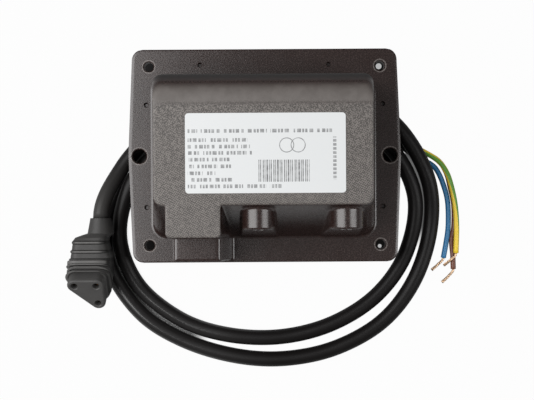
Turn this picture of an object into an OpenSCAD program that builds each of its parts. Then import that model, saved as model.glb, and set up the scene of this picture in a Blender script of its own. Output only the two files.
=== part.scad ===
// Ignition transformer, potted in a moulded case, with its mains lead.
// Millimetres. +Z looks out of the front of the case, +Y is away from the terminals.
// The origin is the centre of the four corner fixing holes on the front face of the flange.

/* [Flange] */
// Width of the flange across its two side holes
flange_w = 125.3; // [122:0.1:140]
// Width of the flange at its corners
flange_corner_w = 121.6; // [118:0.1:125]
// Height of the flange, along Y
flange_h = 97.8; // [94:0.1:110]
// Thickness of the flange
flange_t = 5; // [3:0.5:8]
// Corner radius of the flange
flange_r = 5; // [2:0.5:7]
// Spacing of the corner holes along X
corner_pitch_x = 106; // [100:0.5:108]
// Spacing of the corner holes along Y
corner_pitch_y = 82; // [78:0.5:86]
// Diameter of the corner holes
corner_hole_d = 4.4; // [3:0.1:6]
// Spacing of the two side holes
side_pitch = 115; // [112:0.5:116]
// Diameter of the side holes
side_hole_d = 6.4; // [4:0.1:7]
// Chamfer round each hole's mouth
hole_chamfer = 0.5; // [0.2:0.1:1]
// Diameter of the small blind dimples
dimple_d = 2; // [1:0.1:3]
// Depth of the dimples
dimple_depth = 1.6; // [0.5:0.1:2.5]
// X of the four dimples on the short sides
dimple_side_x = 54.2; // [52:0.1:57]
// Y of the four dimples on the short sides
dimple_side_y = 23.5; // [15:0.5:30]
// X of the two dimples on the long side
dimple_long_x = 29.5; // [20:0.5:40]
// Y of the two dimples on the long side
dimple_long_y = 41.7; // [40.5:0.1:44]

/* [Case] */
// Height of the case above the flange
case_h = 48; // [44:0.5:60]
// Width of the flat front face
top_w = 90.8; // [86:0.1:94]
// Y of the front face's edge on the terminal side
top_front_y = -22.9; // [-25:0.1:-21]
// Y where the front face turns into the round shoulder
shoulder_y = 20.5; // [18:0.1:23]
// Radius of the round shoulder
shoulder_r = 14; // [10:0.5:16]
// Plan radius of the front face's corners
top_corner_r = 3.5; // [2:0.5:6]
// Slope of the two long side walls, in degrees
side_draft = 7; // [4:0.5:8]
// Y of the case's foot on the terminal side
foot_front_y = -36.9; // [-38:0.1:-35]
// Y of the case's foot behind the shoulder
foot_back_y = 36.6; // [35:0.1:39]
// Plan radius of the foot's corners
foot_r = 6; // [3:0.5:8]
// Height of the flare at the foot
flare_h = 2.4; // [1:0.1:4]
// Reach of the flare at the foot
flare_w = 1.6; // [1:0.1:3]
// Wall of the case round the resin
wall = 3; // [2:0.25:4]
// Depth of the resin's back face behind the flange's back
resin_sink = 0.5; // [0.2:0.1:1]

/* [Mains terminal block] */
// X of the block's middle
block_x = -29.55; // [-31:0.05:-28]
// Width of the block at the front
block_w = 22.9; // [22:0.1:25]
// Y of the block's open end at the front
block_end_y = -35.9; // [-38:0.1:-34]
// Slope of the block's sides, in degrees
block_draft = 3.5; // [2:0.5:5]
// Plan radius of the block's corners
block_r = 2; // [1:0.25:3]
// Height of the ledge below the block's mouth
ledge_h = 24; // [18:0.5:26]
// Width of the ledge's flat
ledge_w = 20.6; // [18:0.1:22]
// Radius of the ledge's long edges
ledge_r = 1.6; // [0.5:0.1:2.5]
// Distance of the ledge's end from the flange's edge
ledge_setback = 1.2; // [0.5:0.1:3]
// Reach of the block's foot past its open end
block_toe = 1.2; // [0.5:0.1:2]
// How far the block and ledge run into the case
block_root = 6; // [4:0.5:8]
// Spread of the ledge at its foot, on each side
ledge_spread = 1.2; // [0:0.1:2]
// Depth of the socket
socket_depth = 13; // [10:0.5:14]
// Height of the socket's middle above the flange
socket_z = 35; // [34:0.25:36]
// Length of the pins that stands free in the socket
pin_reach = 10; // [6:0.5:11]
// Diameter of the mains pins
pin_d = 2.8; // [2:0.1:3.2]
// Depth of each pin's seat behind the socket
pin_seat = 4; // [3:0.5:6]

/* [High-voltage outlets] */
// X of the left outlet
outlet_left_x = -2.7; // [-4:0.1:-1]
// X of the right outlet
outlet_right_x = 34.2; // [32:0.1:35]
// Height of the outlets' axes above the flange
outlet_z = 38; // [34:0.5:39]
// Radius of the outlets' round tops
outlet_r = 7; // [6.5:0.25:7.5]
// Width of each outlet at its foot
outlet_foot_w = 17; // [15:0.5:19]
// Y of the outlets' end faces at the axis
outlet_end_y = -32.8; // [-35:0.1:-32]
// Diameter of the cable bores
outlet_bore_d = 8; // [6:0.25:9]
// Depth of the cable bores
outlet_bore_depth = 9; // [7:0.5:9.5]
// Wall behind and around each bore, inside the case
outlet_back = 2; // [1.5:0.25:2.5]
// Diameter of the outlet pins
hv_pin_d = 3; // [2:0.25:3]
// Free length of the outlet pins
hv_pin_reach = 6; // [4:0.5:8]
// Length of the outlet pins that stands in the resin
hv_pin_root = 0.3; // [0.2:0.1:0.5]
// Diameter of the pin's thicker root, pressed into the bore's floor
hv_pin_root_d = 3.4; // [3.2:0.1:4]
// Height of the root above the bore's floor
hv_pin_step = 0.5; // [0.3:0.1:1]

/* [Core and coils] */
// Length of the core along X
core_l = 72; // [70:1:74]
// Height of the core along Y
core_w = 41; // [40:0.5:41.5]
// Y of the core's middle
core_y = 6; // [5.75:0.25:6.25]
// Z of the core's middle
core_z = 15.5; // [14.5:0.5:15.5]
// Width of each limb
limb_w = 10; // [8:0.5:10.5]
// Stack of the laminations
stack = 16; // [14:0.5:18]
// Thickness of the closing yoke
yoke_w = 9; // [8:0.5:10]
// Air gap at each end of the shunt
shunt_gap = 0.5; // [0.3:0.1:1]
// Wall of the bobbins
bobbin_t = 1.1; // [0.8:0.1:1.3]
// Height of the bobbins' cheeks above the limb
coil_build = 4.6; // [4:0.1:4.8]
// Length of the primary bobbin
primary_l = 44; // [40:1:48]
// Length of each secondary bobbin
secondary_l = 23; // [18:0.5:24]
// Gap between the two secondary bobbins
secondary_gap = 3; // [2:0.5:5]
// Depth that each winding stays below the cheeks
winding_sink = 0.6; // [0.3:0.1:1]
// Diameter of the mains leads inside
lead_d = 2; // [1.5:0.1:2.2]
// Diameter of the high-voltage leads inside
hv_lead_d = 1.2; // [1:0.1:1.3]
// Height of the inner leads' run over the coils
wire_rise = 3.4; // [2.5:0.1:5]
// Distance of a lead's end from the end of the primary bobbin
tap_inset = 5; // [4:0.5:8]

/* [Label] */
// Width of the label
label_w = 65.9; // [60:0.1:70]
// Height of the label
label_h = 32.9; // [28:0.1:36]
// Corner radius of the label
label_r = 1.4; // [0.5:0.1:3]
// Thickness of the label
label_t = 0.2; // [0.1:0.05:0.4]
// X of the label's middle
label_x = 0.4; // [-2:0.1:2]
// Y of the label's middle
label_y = -1.1; // [-2:0.1:2]

/* [Plug] */
// Spacing of the plug's contacts, the same as the pins
contact_pitch = 9.8; // [9:0.1:10.5]
// Diameter of the plug's contact holes
contact_hole_d = 3.6; // [3.3:0.1:4]
// Depth of the contact holes
contact_depth = 12; // [10:0.5:13]
// Bore of the contact tubes
contact_bore = 2.9; // [2.85:0.05:3]
// Length of the contact tubes
contact_l = 9; // [6:0.5:10]
// Rubber round the contacts at the nose
nose_r = 3.3; // [3:0.1:3.6]
// Clearance of the plug's nose in the socket
nose_clearance = 0.35; // [0.2:0.05:0.6]
// Angle between the nose and the lead
plug_turn = 56; // [50:1:58]
// Radius of the turn inside the plug
plug_bend_r = 16; // [15:0.5:18]
// Straight length behind the turn
plug_straight = 10.6; // [10:0.2:12]
// Straight length of the nose
nose_l = 5.4; // [4:0.1:7]
// Thickness of the grip ribs
rib_t = 0.9; // [0.7:0.1:1.2]
// Height of the grip ribs
rib_h = 0.8; // [0.5:0.1:1.2]
// Diameter of the plug's collar, next to the plug
collar_d = 12.4; // [10.5:0.1:13]
// Diameter of the collar where the lead goes in
collar_mouth_d = 9.6; // [9:0.1:12]
// Length of the collar
collar_l = 7.6; // [6:0.2:9]

/* [Mains lead] */
// Diameter of the lead
lead_sheath_d = 7.2; // [6.8:0.1:7.2]
// Diameter of each core of the lead
wire_d = 2.5; // [2:0.1:2.6]
// Diameter of each bare copper end
strand_d = 1.4; // [1:0.1:1.6]

/* [Hidden] */
$fn = 48;
fine = 32;
skin = 0.01;
// Height of the thin slabs at the feet of sloping walls
foot_t = 0.4;

// Corner positions and derived outlines
case_x = -0.5;
top_half = top_w / 2;
foot_half = top_half + case_h * tan(side_draft);
resin_back = -flange_t + resin_sink;
seal_z = core_z - stack / 2 - coil_build;
winding_top = core_z + stack / 2 + coil_build - winding_sink;
wire_z = core_z + stack / 2 + coil_build + wire_rise;
// Half the distance between two mains contacts
half_pitch = contact_pitch / 2;
pin_spots = [[-half_pitch, half_pitch], [half_pitch, half_pitch], [half_pitch, -half_pitch]];
socket_floor_y = block_end_y + socket_depth;
outlet_floor_y = outlet_end_y + outlet_bore_depth;
limb_upper_y = core_y + (core_w - limb_w) / 2;
limb_lower_y = core_y - (core_w - limb_w) / 2;
core_left = -core_l / 2;
leg_l = core_l - 2 * yoke_w;
shunt_w = core_w - 2 * limb_w - 2 * coil_build;

// Route of the lead, from the plug's collar to the cut end of its sheath
lead_start = [-75.9, -28.3, -3.3];
lead_start_dir = [0, 1, 0];
lead_end = [65, 6, -16];
lead_out = unit([18, -11, 0]);
lead_points = [
  lead_start,
  [-66.9, -5.1, -9], [-50.2, 13, -8.8], [-30.3, 26.2, -8.7], [-7.4, 32.8, -8.7],
  [17.6, 32.3, -8.7], [41.4, 27.5, -9.3], [62.1, 13.6, -8.7], [76.1, -9.6, -10.8],
  [78.4, -33, -15.2], [71, -57.9, -15.7], [55.9, -77.8, -15.9], [33.9, -90.4, -15.7],
  [9.9, -95.6, -15.9], [-14.1, -94.3, -15.9], [-38.8, -86.8, -16], [-59.4, -73.5, -15.8],
  [-73.9, -51.3, -16], [-74.5, -28.7, -15.9], [-62.3, -9.6, -16], [-41, 2.2, -15.8],
  [-10.7, 11.5, -13.9], [13.1, 14.3, -10.6], [38.1, 13.9, -9.2], [58.8, 3.7, -9.5],
  [70.5, -19.4, -11.9], [66.8, -45.4, -15.4], [52.9, -65.6, -15.9], [31.7, -79.1, -15.7],
  [7.2, -85.3, -16], [-18.3, -84.1, -15.5], [-41.1, -76.4, -16], [-61, -59.5, -15.5],
  [-68.8, -35.8, -12.6], [-61.1, -10.1, -8.7], [-43.6, 7.2, -10.6], [-23.5, 18.2, -14.5],
  [1.3, 25, -15.8], [25.2, 23.5, -16], [46.9, 16.9, -16],
  lead_end
];

// A core's place in the sheath's end face: sideways and up from the middle
function core_spot(a, b) = lead_end + a * side_of(lead_out) + [0, 0, b];

// Routes of the three cores, from the sheath's end to their bare ends
blue_points = [
  core_spot(1.45, 0.7), [70.9, 0.5, -17.4], [79.1, -3.7, -18.3], [82.4, -7.3, -18.3],
  [85.1, -13.6, -18.3], [87.1, -21.8, -18.3], [87.3, -33.3, -18.3], [86.2, -41.5, -18.3],
  [84.9, -48.5, -18.3]
];
blue_bare = [[84.9, -48.5, -18.3], [82.4, -51.6, -18.6], [79.3, -54.3, -18.7]];
green_points = [
  core_spot(-1.45, 0.7), [73, 3.4, -15.5], [81.8, -1.9, -15.7], [86.2, -7.7, -15.7],
  [88.6, -15, -15.7], [90.2, -23.3, -15.7], [90.8, -33.3, -15.7], [90.5, -46.1, -15.9]
];
green_bare = [[90.5, -46.1, -15.9], [88, -49.4, -16.6], [85.2, -52.1, -18.5]];
brown_points = [
  core_spot(0, -1.5), [72.9, 3.2, -18.3], [82.2, -1.6, -18.3], [86.4, -7.6, -18.3],
  [88.4, -15, -18.3], [90, -23.3, -18.3], [90, -33.3, -18.3], [88.9, -40.1, -18.3],
  [89.4, -47.1, -18.3], [89.6, -53.8, -18.3]
];
brown_bare = [[89.6, -53.8, -18.3], [87.3, -57.3, -18.6], [84.2, -60.2, -18.7]];

// The plug: its middle across, and where its middle line starts to turn and ends
plug_x = lead_start[0] - half_pitch;
plug_z = lead_start[2];
turn_s = collar_l + plug_straight;
nose_s = turn_s + plug_bend_r * plug_turn * PI / 180;
plug_s = nose_s + nose_l;

// Stations of the plug: distance along its middle line, rubber round the contacts,
// and the share of the triangle in its outline, 0 where it is round
function rib(s, share) = [
  [s - 0.4 * rib_t, nose_r, share], [s, nose_r + rib_h, share],
  [s + rib_t, nose_r + rib_h, share], [s + 1.4 * rib_t, nose_r, share]];
plug_stations = concat(
  [[0, nose_r, 0], [6.8, nose_r, 0], [7.6, nose_r, 0.3], [8.6, nose_r, 0.7]],
  rib(10.4, 0.86), rib(14.6, 0.93), [[17.6, nose_r, 1]],
  rib(20.9, 1), rib(23.3, 1), rib(25.8, 1), rib(28.3, 1),
  [[31, nose_r, 1], [nose_s, nose_r, 1], [plug_s - 1, nose_r, 1], [plug_s, nose_r - 0.8, 1]]);

// Points round the plug's outline: a contact or a spot between two, and the way out of it
outline_spots = concat(
  [for (a = [0, 30, 60, 90]) [[half_pitch, half_pitch], a]],
  [for (t = [1, 2]) [[half_pitch - contact_pitch * t / 3, half_pitch], 90]],
  [for (a = [90, 123.75, 157.5, 191.25, 225]) [[-half_pitch, half_pitch], a]],
  [for (t = [1, 2]) [[contact_pitch * t / 3 - half_pitch, half_pitch - contact_pitch * t / 3], 225]],
  [for (a = [225, 258.75, 292.5, 326.25, 360]) [[half_pitch, -half_pitch], a]],
  [for (t = [1, 2, 3]) [[half_pitch, contact_pitch * t / 4 - half_pitch], 0]]);

// Vector helpers
function unit(v) = v / norm(v);
function side_of(t) = unit(cross(t, [0, 0, 1]));

// A smooth curve through the points: each span is a cubic whose end slopes are half
// the chord between the neighbours; the first slope can be given.
function before(p, dir) = is_undef(dir) ? 2 * p[0] - p[1] : p[1] - 2 * norm(p[1] - p[0]) * dir;
function span_at(a, b, c, d, t) =
  0.5 * (2 * b + (c - a) * t + (2 * a - 5 * b + 4 * c - d) * t * t
    + (3 * b - a - 3 * c + d) * t * t * t);
function curve(p, per_span, dir) =
  let (n = len(p), q = concat([before(p, dir)], p, [2 * p[n - 1] - p[n - 2]]))
  concat(
    [for (i = [1 : n - 1], k = [0 : per_span - 1])
      span_at(q[i - 1], q[i], q[i + 1], q[i + 2], k / per_span)],
    [p[n - 1]]);

// The direction of a route's last stretch
function out_dir(p) = unit(p[len(p) - 1] - p[len(p) - 2]);

// A round tube swept along a curve, with its ends closed flat and square to the given directions
module sweep_tube(path, d, sides, start_dir, end_dir) {
  n = len(path);
  rings = [for (i = [0 : n - 1])
    let (
      t = i == 0 ? start_dir : i == n - 1 ? end_dir : unit(path[i + 1] - path[i - 1]),
      s = side_of(t),
      u = cross(s, t))
    for (k = [0 : sides - 1])
      let (a = 360 * (k + 0.5) / sides)
      path[i] + d / 2 * (cos(a) * s + sin(a) * u)];
  walls = [for (i = [0 : n - 2], k = [0 : sides - 1])
    let (m = (k + 1) % sides)
    [i * sides + k, (i + 1) * sides + k, (i + 1) * sides + m, i * sides + m]];
  start_cap = [[for (k = [0 : sides - 1]) k]];
  end_cap = [[for (k = [0 : sides - 1]) (n - 1) * sides + sides - 1 - k]];
  polyhedron(points = rings, faces = concat(start_cap, walls, end_cap), convexity = 10);
}

// A rectangle with round corners, centred on x, between two Y values
module round_rect(x, y0, y1, half_w, r) {
  union() {
    translate([x - half_w + r, y0]) square([2 * (half_w - r), y1 - y0]);
    translate([x - half_w, y0 + r]) square([2 * half_w, y1 - y0 - 2 * r]);
    for (sx = [-1, 1], y = [y0 + r, y1 - r])
      translate([x + sx * (half_w - r), y]) circle(r, $fn = fine);
  }
}

// A prism along Y, from an outline drawn in X and Z
module along_y(y0, y1) {
  translate([0, y1, 0]) rotate([90, 0, 0]) linear_extrude(y1 - y0) children();
}

// A cylinder along Y
module rod_y(x, z, y0, y1, d) {
  translate([x, y1, z]) rotate([90, 0, 0]) cylinder(h = y1 - y0, d = d);
}

// A straight round rod between two points
module rod(a, b, d) {
  v = b - a;
  l = norm(v);
  translate(a)
    rotate([0, acos(v[2] / l), atan2(v[1], v[0])])
      cylinder(h = l, d = d, $fn = 24);
}

// The plug's outline: three contacts in a right angle, rubber round them
module triangle_outline(r) {
  d = r / sqrt(2);
  union() {
    for (p = pin_spots) translate(p) circle(r, $fn = fine);
    polygon(pin_spots);
    translate([-half_pitch, half_pitch]) square([contact_pitch, r]);
    translate([half_pitch, -half_pitch]) square([r, contact_pitch]);
    polygon([
      pin_spots[0], pin_spots[2],
      pin_spots[2] + [-d, -d], pin_spots[0] + [-d, -d]]);
  }
}

// Flange plate: the long sides come to a blunt point at the side holes
module flange_outline() {
  cx = flange_corner_w / 2 - flange_r;
  cy = flange_h / 2 - flange_r;
  union() {
    polygon([
      [flange_w / 2, 0], [cx + flange_r, cy], [cx, cy + flange_r],
      [-cx, cy + flange_r], [-cx - flange_r, cy], [-flange_w / 2, 0],
      [-cx - flange_r, -cy], [-cx, -cy - flange_r],
      [cx, -cy - flange_r], [cx + flange_r, -cy]]);
    for (sx = [-1, 1], sy = [-1, 1]) translate([sx * cx, sy * cy]) circle(flange_r, $fn = fine);
  }
}

// One disc of the shoulder, with a round rim
module shoulder_disc(r, rim) {
  rotate([0, 90, 0])
    rotate_extrude($fn = fine) {
      square([r - rim, rim]);
      intersection() {
        translate([r - rim, 0]) circle(rim, $fn = 24);
        square([r, rim]);
      }
    }
}

// The main block of the case, or the space inside it when it is inset by the wall
module main_block(inset, foot_z) {
  r = shoulder_r - inset;
  c = max(top_corner_r - inset, 1);
  half = top_half - inset;
  top = case_h - inset;
  edge = 0.9;
  hull() {
    translate([0, 0, foot_z]) linear_extrude(foot_t)
      round_rect(case_x, foot_front_y + inset, foot_back_y - inset, foot_half - inset, foot_r);
    for (sx = [-1, 1]) {
      translate([case_x + sx * (half - c), top_front_y + inset + c, top - edge - 1])
        cylinder(h = 1, r = c, $fn = fine);
      translate([case_x + sx * (half - c), top_front_y + inset + c, top - edge])
        cylinder(h = edge, r1 = c, r2 = c - edge / 2, $fn = fine);
      translate([case_x + sx * half, shoulder_y, top - r])
        rotate([0, 0, sx < 0 ? 0 : 180]) shoulder_disc(r, c);
    }
  }
}

// The mains terminal block, open towards -Y
module terminal_block() {
  spread = case_h * tan(block_draft);
  hull() {
    translate([0, 0, case_h - 1]) linear_extrude(1)
      round_rect(block_x, block_end_y, top_front_y + block_root, block_w / 2, block_r);
    linear_extrude(foot_t)
      round_rect(block_x, block_end_y - block_toe, top_front_y + block_root,
        block_w / 2 + spread, block_r);
  }
}

// The ledge that the plug slides in over
module ledge() {
  end_y = -flange_h / 2 + ledge_setback;
  hull() {
    for (sx = [-1, 1])
      rod_y(block_x + sx * (ledge_w / 2 - ledge_r), ledge_h - ledge_r,
        end_y + ledge_spread / 2, block_end_y + block_root, 2 * ledge_r);
    along_y(end_y, block_end_y + block_root)
      translate([block_x - ledge_w / 2 - ledge_spread, 0])
        square([ledge_w + 2 * ledge_spread, foot_t]);
  }
}

// One high-voltage outlet: a round barrel on a sloping foot
module outlet(x) {
  intersection() {
    along_y(foot_front_y, top_front_y) {
      translate([x, outlet_z]) circle(outlet_r);
      polygon([
        [x - outlet_r, outlet_z], [x + outlet_r, outlet_z],
        [x + outlet_foot_w / 2, 0], [x - outlet_foot_w / 2, 0]]);
    }
    translate([x - outlet_foot_w, 0, 0]) rotate([90, 0, 90]) linear_extrude(2 * outlet_foot_w)
      polygon([
        [foot_front_y, 0], [outlet_end_y, outlet_z], [outlet_end_y, outlet_z + outlet_r],
        [top_front_y, outlet_z + outlet_r], [top_front_y, 0]]);
  }
}

// Solid walls inside the case, behind the socket and the outlets
module inner_bosses() {
  translate([block_x - block_w / 2, block_end_y, socket_z - half_pitch - nose_r - 2 * wall])
    cube([block_w, socket_depth + wall, case_h - socket_z + half_pitch + nose_r + 2 * wall - 1]);
  for (x = [outlet_left_x, outlet_right_x])
    rod_y(x, outlet_z, top_front_y - block_root, outlet_floor_y + outlet_back,
      outlet_bore_d + 2 * outlet_back);
}

module case_outside() {
  translate([0, 0, -flange_t]) linear_extrude(flange_t) flange_outline();
  main_block(0, 0);
  hull() {
    linear_extrude(foot_t)
      round_rect(case_x, foot_front_y, foot_back_y + flare_w, foot_half + flare_w, foot_r);
    translate([0, 0, flare_h]) linear_extrude(foot_t)
      round_rect(case_x, foot_front_y + 1, foot_back_y, foot_half - foot_t, foot_r);
  }
  terminal_block();
  ledge();
  outlet(outlet_left_x);
  outlet(outlet_right_x);
}

module hole(x, y, d) {
  translate([x, y, -flange_t - 1]) cylinder(h = flange_t + 2, d = d);
  translate([x, y, -hole_chamfer])
    cylinder(h = hole_chamfer + skin, d1 = d, d2 = d + 2 * hole_chamfer + 2 * skin);
}

module dimple(x, y) {
  translate([x, y, -dimple_depth]) cylinder(h = dimple_depth + 1, d = dimple_d);
}

module flange_holes() {
  for (sx = [-1, 1]) {
    for (sy = [-1, 1]) {
      hole(sx * corner_pitch_x / 2, sy * corner_pitch_y / 2, corner_hole_d);
      dimple(sx * dimple_side_x, sy * dimple_side_y);
    }
    hole(sx * side_pitch / 2, 0, side_hole_d);
    dimple(sx * dimple_long_x, dimple_long_y);
  }
}

// The socket: the plug's outline with clearance, and the three pin seats
module socket_space() {
  along_y(block_end_y - 3, socket_floor_y)
    translate([block_x, socket_z]) triangle_outline(nose_r + nose_clearance);
  for (p = pin_spots)
    rod_y(block_x + p[0], socket_z + p[1], socket_floor_y - 1, socket_floor_y + wall + 1, pin_d);
}

module outlet_space(x) {
  rod_y(x, outlet_z, outlet_end_y - 6, outlet_floor_y, outlet_bore_d);
  rod_y(x, outlet_z, outlet_floor_y - 1, outlet_floor_y + outlet_back + 1, hv_pin_root_d);
}

module housing() {
  color("#3b3937")
    difference() {
      union() {
        difference() {
          case_outside();
          main_block(wall, -flange_t - foot_t);
        }
        inner_bosses();
      }
      flange_holes();
      socket_space();
      outlet_space(outlet_left_x);
      outlet_space(outlet_right_x);
    }
}

// Everything that the resin is poured round
module embedded_parts() {
  inner_bosses();
  core_u();
  core_i();
  magnetic_shunt();
  bobbin_envelope(0, limb_upper_y, primary_l);
  bobbin_envelope(-secondary_shift(), limb_lower_y, secondary_l);
  bobbin_envelope(secondary_shift(), limb_lower_y, secondary_l);
  hv_pin_left();
  hv_pin_right();
  hv_lead_left();
  hv_lead_right();
  line_pin();
  neutral_pin();
  earth_pin();
  line_lead();
  neutral_lead();
  earth_lead();
}

// The space in the case between two heights
module case_space(z0, z1) {
  intersection() {
    main_block(wall, -flange_t - foot_t);
    translate([-flange_w / 2, -flange_h / 2, z0]) cube([flange_w, flange_h, z1 - z0]);
  }
}

// Filled resin round the core and coils, up to the backs of the bobbins
module potting() {
  color("#26221f")
    difference() {
      case_space(seal_z, case_h);
      embedded_parts();
    }
}

// Plain resin that seals the back of the case
module seal_resin() {
  color("#2c2825") case_space(resin_back, seal_z);
}

function secondary_shift() = (secondary_l + secondary_gap) / 2;

// U of laminations: the yoke at the left and two limbs
module core_u() {
  color("#6d7074")
    translate([core_left, core_y - core_w / 2, core_z - stack / 2])
      difference() {
        cube([core_l - yoke_w, core_w, stack]);
        translate([yoke_w, limb_w, -1])
          cube([core_l, core_w - 2 * limb_w, stack + 2]);
      }
}

// Straight pack of laminations that closes the U
module core_i() {
  color("#6d7074")
    translate([core_left + core_l - yoke_w, core_y - core_w / 2, core_z - stack / 2])
      cube([yoke_w, core_w, stack]);
}

// Leakage shunt: it lies between the upper and lower bobbins, with an air gap to each yoke
module magnetic_shunt() {
  color("#7d8186")
    translate([core_left + yoke_w + shunt_gap, core_y - shunt_w / 2, core_z - stack / 2])
      cube([leg_l - 2 * shunt_gap, shunt_w, stack]);
}

// A bobbin is a square tube on a limb with a cheek at each end
module bobbin(x, y, l) {
  difference() {
    bobbin_envelope(x, y, l);
    winding_space(x, y, l);
    translate([x - l, y - limb_w / 2, core_z - stack / 2]) cube([2 * l, limb_w, stack]);
  }
}

module bobbin_envelope(x, y, l) {
  translate([x - l / 2, y - limb_w / 2 - coil_build, core_z - stack / 2 - coil_build])
    cube([l, limb_w + 2 * coil_build, stack + 2 * coil_build]);
}

module winding_space(x, y, l) {
  inner = l - 2 * bobbin_t;
  translate([x - inner / 2, y, core_z]) rotate([0, 90, 0]) linear_extrude(inner)
    difference() {
      square([stack + 4 * coil_build, limb_w + 4 * coil_build], center = true);
      square([stack + 2 * bobbin_t, limb_w + 2 * bobbin_t], center = true);
    }
}

// Windings have round outer corners and stay a little below the cheeks
module winding(x, y, l) {
  inner = l - 2 * bobbin_t;
  b = coil_build - winding_sink;
  translate([x - inner / 2, y, core_z]) rotate([0, 90, 0]) linear_extrude(inner)
    difference() {
      round_rect(0, -limb_w / 2 - b, limb_w / 2 + b, stack / 2 + b, 3);
      square([stack + 2 * bobbin_t, limb_w + 2 * bobbin_t], center = true);
    }
}

module primary_bobbin() { color("#d9d2bf") bobbin(0, limb_upper_y, primary_l); }
module primary_winding() { color("#b5602a") winding(0, limb_upper_y, primary_l); }
module secondary_bobbin_left() {
  color("#d9d2bf") bobbin(-secondary_shift(), limb_lower_y, secondary_l);
}
module secondary_winding_left() {
  color("#a8562a") winding(-secondary_shift(), limb_lower_y, secondary_l);
}
module secondary_bobbin_right() {
  color("#d9d2bf") bobbin(secondary_shift(), limb_lower_y, secondary_l);
}
module secondary_winding_right() {
  color("#a8562a") winding(secondary_shift(), limb_lower_y, secondary_l);
}

// Outlet pins stand in the cable bores and reach into the resin
module hv_pin(x) {
  color("#b08d3c") {
    rod_y(x, outlet_z, outlet_floor_y - hv_pin_reach, outlet_floor_y, hv_pin_d);
    rod_y(x, outlet_z, outlet_floor_y - hv_pin_step, outlet_floor_y + outlet_back + hv_pin_root,
      hv_pin_root_d);
  }
}
module hv_pin_left() { hv_pin(outlet_left_x); }
module hv_pin_right() { hv_pin(outlet_right_x); }

// A stiff wire through the points, with a small bead at each bend
module wire(points, d) {
  n = len(points);
  for (i = [0 : n - 2]) rod(points[i], points[i + 1], d);
  for (i = [1 : n - 2]) translate(points[i]) sphere(d = 1.2 * d, $fn = 24);
}

// From each outlet pin, over its coil and down to the winding
module hv_lead(x, coil_x) {
  pin_end = outlet_floor_y + outlet_back + hv_pin_root;
  y = pin_end + 0.75 * hv_lead_d;
  color("#b9b4a8") {
    rod_y(x, outlet_z, pin_end, y, hv_lead_d);
    wire([[x, y, outlet_z], [x, y, wire_z], [coil_x + tap_inset, limb_lower_y, wire_z],
      [coil_x + tap_inset, limb_lower_y, winding_top]], hv_lead_d);
    translate([x, y, outlet_z]) sphere(d = 1.2 * hv_lead_d, $fn = 24);
  }
}
module hv_lead_left() { hv_lead(outlet_left_x, -secondary_shift()); }
module hv_lead_right() { hv_lead(outlet_right_x, secondary_shift()); }

// Mains pins are seated in the floor of the socket
module mains_pin(p) {
  color("#cfd2d4")
    rod_y(block_x + p[0], socket_z + p[1], socket_floor_y - pin_reach, socket_floor_y + pin_seat, pin_d);
}
module line_pin() { mains_pin(pin_spots[0]); }
module neutral_pin() { mains_pin(pin_spots[1]); }
module earth_pin() { mains_pin(pin_spots[2]); }

// Leads from the mains pins to the primary coil and the core
module inner_lead(p, x, y, foot_z) {
  start = [block_x + p[0], socket_floor_y + pin_seat, socket_z + p[1]];
  bend = start + [0, 2 * lead_d, 0];
  color("#8f8b84") wire([start, bend, [x, y, wire_z], [x, y, foot_z]], lead_d);
}
module line_lead() {
  inner_lead(pin_spots[0], -primary_l / 2 + tap_inset, limb_upper_y + lead_d, winding_top);
}
module neutral_lead() {
  inner_lead(pin_spots[1], -primary_l / 2 + 2 * tap_inset, limb_upper_y - lead_d, winding_top);
}
module earth_lead() {
  inner_lead(pin_spots[2], core_left + yoke_w / 2, limb_lower_y + limb_w / 2, core_z + stack / 2);
}

// Bare label on the front face
module label() {
  color("#e9ecec")
    translate([0, 0, case_h]) linear_extrude(label_t)
      round_rect(label_x, label_y - label_h / 2, label_y + label_h / 2, label_w / 2, label_r);
}

// The plug's turn and the place of its middle line, after a distance along it
function turn_at(s) = s < turn_s ? 0 : min(plug_turn, (s - turn_s) / plug_bend_r * 180 / PI);
function middle_at(s) =
  let (a = turn_at(s), run = min(s, turn_s), past = max(0, s - nose_s))
  [plug_x,
    lead_start[1] - run - plug_bend_r * sin(a) - past * cos(a),
    plug_z + plug_bend_r * (1 - cos(a)) + past * sin(a)];

// A point of the plug's skin: the triangle's point, blended with the collar's circle
function triangle_point(q, r) = q[0] + r * [cos(q[1]), sin(q[1])];
function collar_r(s) =
  (collar_mouth_d + (collar_d - collar_mouth_d) * min(1, s / collar_l)) / 2;
function collar_point(q, s) =
  [half_pitch, 0] + collar_r(s) * unit(triangle_point(q, nose_r) - [half_pitch, 0]);
function skin_point(q, station) =
  let (
    p = (1 - station[2]) * collar_point(q, station[0])
      + station[2] * triangle_point(q, station[1]),
    a = turn_at(station[0]))
  middle_at(station[0]) + [p[0], p[1] * sin(a), p[1] * cos(a)];

// The plug's skin: its outline carried along its middle line, station by station
module plug_skin() {
  m = len(outline_spots);
  n = len(plug_stations);
  walls = [for (i = [0 : n - 2], k = [0 : m - 1])
    let (l = (k + 1) % m)
    [i * m + k, i * m + l, (i + 1) * m + l, (i + 1) * m + k]];
  polyhedron(
    points = [for (station = plug_stations, q = outline_spots) skin_point(q, station)],
    faces = concat(
      [[for (k = [0 : m - 1]) m - 1 - k]], walls, [[for (k = [0 : m - 1]) (n - 1) * m + k]]),
    convexity = 10);
}

// Places children on the plug's nose: x is sideways, y is up the mating face,
// and z points out of it
module at_nose() {
  translate(middle_at(plug_s)) rotate([90 - plug_turn, 0, 0]) children();
}

module plug_body() {
  color("#2b2b2c")
    difference() {
      plug_skin();
      at_nose()
        for (p = pin_spots)
          translate([p[0], p[1], -contact_depth]) cylinder(h = contact_depth + 1, d = contact_hole_d);
    }
}

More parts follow.
